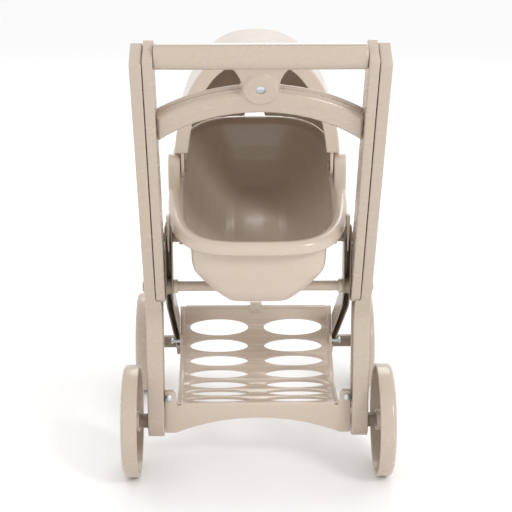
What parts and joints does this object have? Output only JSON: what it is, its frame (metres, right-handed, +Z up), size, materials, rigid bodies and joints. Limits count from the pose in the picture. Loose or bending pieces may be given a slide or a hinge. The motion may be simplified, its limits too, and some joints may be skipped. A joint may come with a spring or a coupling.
{
  "type": "doll stroller",
  "caption": "Moulded toy doll stroller with a lift-off tub, a tilting hard hood, an under-basket, a hand bar and free wheels.",
  "frame": {"origin": "under the middle of the whole object, on the ground", "axes": "+Z up, +Y the way it is pushed (head end of the tub), +X to the right of the person pushing"},
  "size_m": [0.3, 0.476, 0.5109],
  "materials": {
    "beige_plastic": "gloss",
    "pale_plastic": "gloss",
    "shade_plastic": "gloss",
    "zinc_steel": "satin"
  },
  "bodies": {
    "frame": {"rear_leg_right": "beige_plastic", "rear_leg_left": "beige_plastic", "handle_upright_right": "beige_plastic", "handle_upright_left": "beige_plastic", "front_leg_right": "shade_plastic", "front_leg_left": "shade_plastic", "rod_cap_right": "shade_plastic", "rod_cap_left": "shade_plastic", "handle_bolt_right": "zinc_steel", "handle_bolt_left": "zinc_steel", "basket_rear_screw_right": "zinc_steel", "basket_rear_screw_left": "zinc_steel", "basket_front_screw_right": "zinc_steel", "basket_front_screw_left": "zinc_steel", "rear_axle_right": "zinc_steel", "rear_axle_left": "zinc_steel", "front_axle_right": "zinc_steel", "front_axle_left": "zinc_steel", "rear_spacer_right": "shade_plastic", "rear_spacer_left": "shade_plastic", "front_spacer_right": "shade_plastic", "front_spacer_left": "shade_plastic", "lower_cross_rod": "beige_plastic", "handle_rear_shell": "beige_plastic", "handle_front_shell": "beige_plastic", "handle_screw": "zinc_steel", "basket": "pale_plastic"},
    "tub": {"tub": "pale_plastic", "tub_trunnion_right": "shade_plastic", "tub_trunnion_left": "shade_plastic"},
    "hood": {"hood": "pale_plastic", "hood_pin_right": "shade_plastic", "hood_pin_left": "shade_plastic"},
    "rear_wheel_right": {"rear_wheel_right": "beige_plastic", "rear_hub_cap_right": "pale_plastic"},
    "rear_wheel_left": {"rear_wheel_left": "beige_plastic", "rear_hub_cap_left": "pale_plastic"},
    "front_wheel_right": {"front_wheel_right": "beige_plastic", "front_hub_cap_right": "pale_plastic"},
    "front_wheel_left": {"front_wheel_left": "beige_plastic", "front_hub_cap_left": "pale_plastic"}
  },
  "joints": [
    {"name": "tub_lift", "type": "slide", "parent": "frame", "child": "tub", "axis": [0, 0, 1], "range_m": [0, 0.25]},
    {"name": "hood_tilt", "type": "hinge", "parent": "tub", "child": "hood", "pos_m": [0, -0.01498, 0.342], "axis": [1, 0, 0], "range_deg": [0, 50]},
    {"name": "rear_wheel_right_roll", "type": "hinge", "parent": "frame", "child": "rear_wheel_right", "pos_m": [0.141, -0.07497, 0.063], "axis": [1, 0, 0], "continuous": true},
    {"name": "rear_wheel_left_roll", "type": "hinge", "parent": "frame", "child": "rear_wheel_left", "pos_m": [-0.141, -0.07497, 0.063], "axis": [1, 0, 0], "continuous": true},
    {"name": "front_wheel_right_roll", "type": "hinge", "parent": "frame", "child": "front_wheel_right", "pos_m": [0.141, 0.17502, 0.063], "axis": [1, 0, 0], "continuous": true},
    {"name": "front_wheel_left_roll", "type": "hinge", "parent": "frame", "child": "front_wheel_left", "pos_m": [-0.141, 0.17502, 0.063], "axis": [1, 0, 0], "continuous": true}
  ]
}
